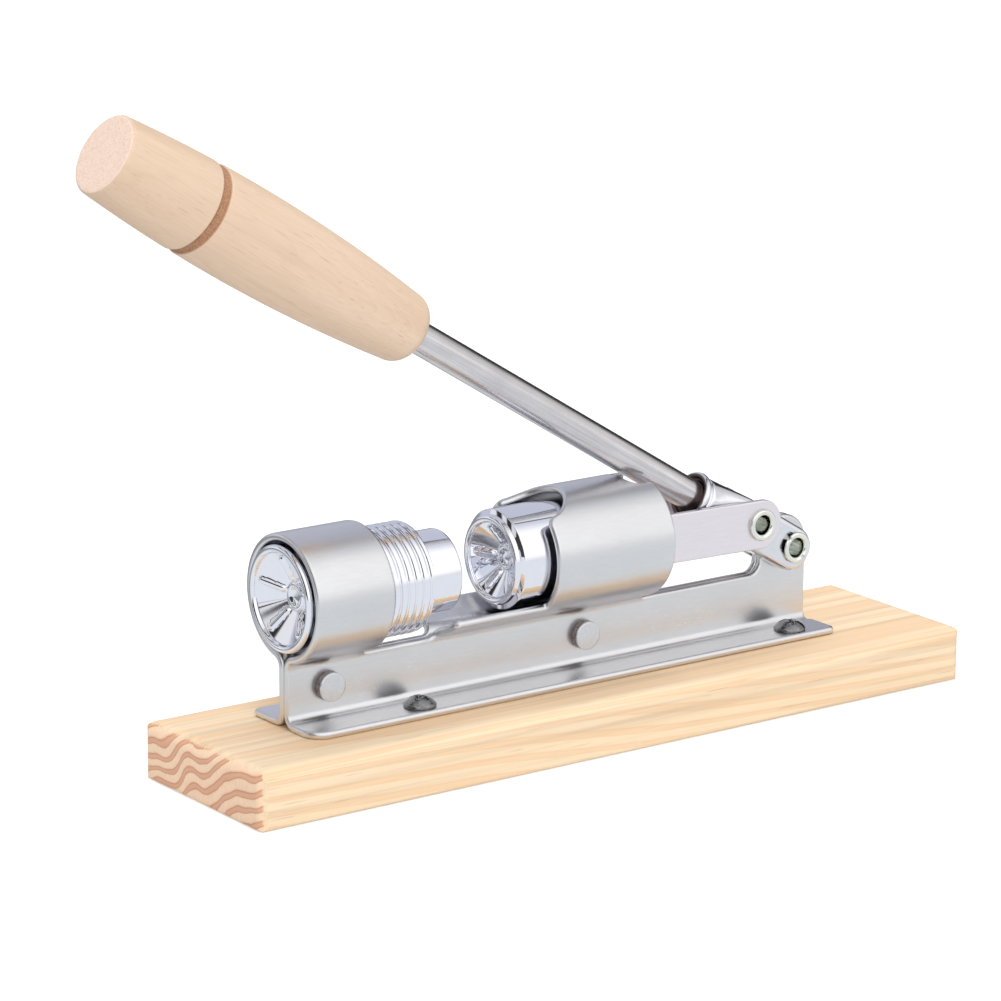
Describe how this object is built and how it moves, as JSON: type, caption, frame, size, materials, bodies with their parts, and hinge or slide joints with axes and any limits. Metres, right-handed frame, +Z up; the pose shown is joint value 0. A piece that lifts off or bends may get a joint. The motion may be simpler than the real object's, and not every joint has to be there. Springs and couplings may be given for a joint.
{
  "type": "lever nutcracker",
  "caption": "Bench lever nutcracker: a wooden base, a folded sheet frame with tubes, a screwed anvil, a ram drawn by links, and a hinged steel lever with a turned wooden handle.",
  "frame": {"origin": "centre of the wooden base's underside", "axes": "+X along the base towards the lever pivot, +Y to the far side, +Z up"},
  "size_m": [0.2265, 0.048, 0.154],
  "materials": {
    "pine_wood": "planed pine, thin clear coat",
    "plated_sheet": "satin plated sheet",
    "rivet_steel": "plated, smooth flat heads",
    "zinc_screw": "dark zinc plate",
    "cast_chrome": "mirror-bright plated casting",
    "bright_nickel": "bright nickel plate",
    "link_steel": "satin plated strip",
    "yoke_steel": "satin plated casting",
    "rod_steel": "drawn steel with fine lengthwise marks",
    "beech_wood": "turned pale hardwood, unstained"
  },
  "bodies": {
    "frame": {"base_board": "pine_wood", "frame_shell": "plated_sheet", "front_rivet": "rivet_steel", "middle_rivet": "rivet_steel", "base_screw_1": "zinc_screw", "base_screw_2": "zinc_screw", "base_screw_3": "zinc_screw", "base_screw_4": "zinc_screw"},
    "anvil_carriage": {"anvil_nose": "cast_chrome"},
    "anvil_sleeve": {"anvil_screw": "cast_chrome"},
    "lever": {"lever_yoke": "yoke_steel", "lever_rod": "rod_steel", "wood_handle": "beech_wood", "pivot_eyelet": "bright_nickel"},
    "links": {"link_near": "link_steel", "link_far": "link_steel", "link_eyelet": "bright_nickel", "ram_pin": "bright_nickel"},
    "ram": {"ram": "cast_chrome"}
  },
  "joints": [
    {"name": "lever_turn", "type": "hinge", "parent": "frame", "child": "lever", "pos_m": [0.0624, 0, 0.0347], "axis": [0, 1, 0], "range_deg": [0, 75]},
    {"name": "link_turn", "type": "hinge", "parent": "lever", "child": "links", "pos_m": [0.05049, 0, 0.04243], "axis": [0, 1, 0], "range_deg": [-83, 0]},
    {"name": "ram_slide", "type": "slide", "parent": "frame", "child": "ram", "axis": [1, 0, 0], "range_m": [0, 0.0167]},
    {"name": "anvil_slide", "type": "slide", "parent": "frame", "child": "anvil_carriage", "axis": [1, 0, 0], "range_m": [-0.0061, 0.0101]},
    {"name": "anvil_turn", "type": "hinge", "parent": "anvil_carriage", "child": "anvil_sleeve", "pos_m": [-0.065, 0, 0.0434], "axis": [1, 0, 0], "range_deg": [-1080, 1800]}
  ],
  "couplings": [
    {"joint": "link_turn", "follows": "lever_turn", "ratio": -1.097},
    {"joint": "ram_slide", "follows": "lever_turn", "m_per_rad": 0.012637},
    {"joint": "anvil_slide", "follows": "anvil_turn", "m_per_rad": 0.00031831}
  ]
}
